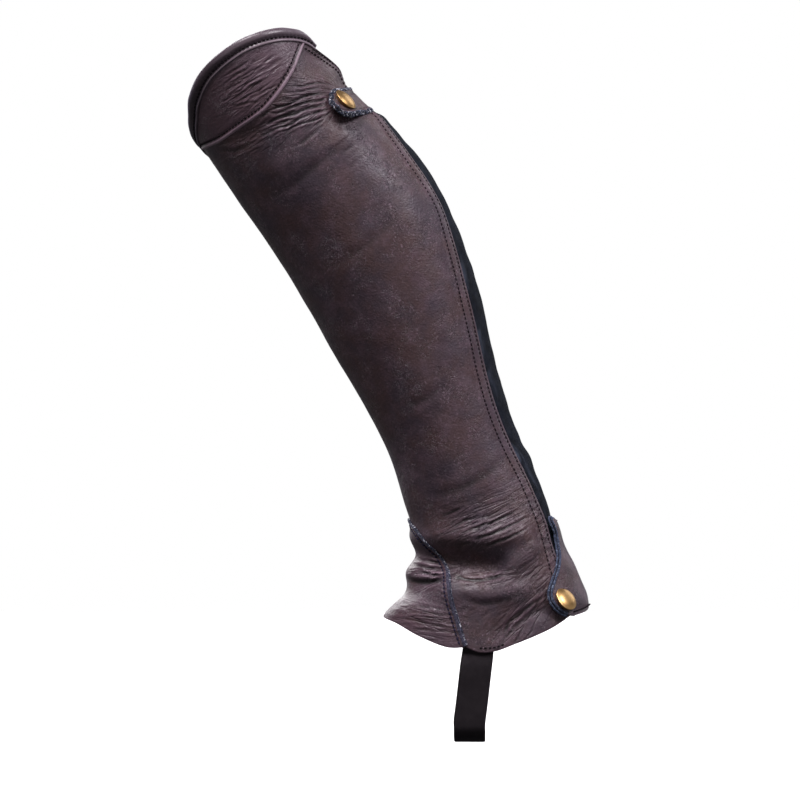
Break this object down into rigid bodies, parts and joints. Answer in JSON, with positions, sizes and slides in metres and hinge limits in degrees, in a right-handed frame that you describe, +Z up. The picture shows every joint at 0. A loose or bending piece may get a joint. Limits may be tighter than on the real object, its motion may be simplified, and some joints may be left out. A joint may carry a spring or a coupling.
{
  "type": "half chap",
  "caption": "Leather half chap in its worn form: a hollow gaiter for the lower leg with a rolled top, an elastic back panel, a zip with snap tabs and a strap under the foot.",
  "frame": {"origin": "on the leg's axis at the calf, at the mount named leg, where the wearer's leg holds the half chap up", "axes": "+Z up, with the lower leg leaning so that the knee is up and forward; -X is forward, toward the toes, +X is toward the heel; -Y is the outer side of a left leg and +Y its inner side, with the zip behind it"},
  "size_m": [0.2736, 0.1159, 0.4842],
  "materials": {
    "leather": "dark brown pebbled leather with a soft sheen",
    "collar_leather": "smooth darker leather, rolled and stitched",
    "elastic": "blue-black ribbed elastic with a faint sheen",
    "tape": "black woven zip tape",
    "teeth": "black moulded zip teeth",
    "zip_metal": "worn brass",
    "brass": "worn brass snap caps",
    "webbing": "black elastic webbing"
  },
  "bodies": {
    "half_chap": {"leg_panel_outer": "leather", "leg_panel_inner": "leather", "top_insert": "leather", "top_band": "collar_leather", "instep_gusset": "leather", "elastic_panel": "elastic", "zip_tape": "tape", "zip_chain": "teeth", "zip_slider": "zip_metal", "upper_tab": "leather", "lower_tab": "leather", "upper_snap": "brass", "lower_snap": "brass", "foot_strap": "webbing"},
    "pull_tab": {"zip_pull": "zip_metal"}
  },
  "joints": [
    {"name": "pull_swing", "type": "hinge", "parent": "half_chap", "child": "pull_tab", "pos_m": [0.00845, 0.032, 0.07879], "axis": [0.3253, -0.8924, 0.3129], "range_deg": [0, 140]}
  ]
}
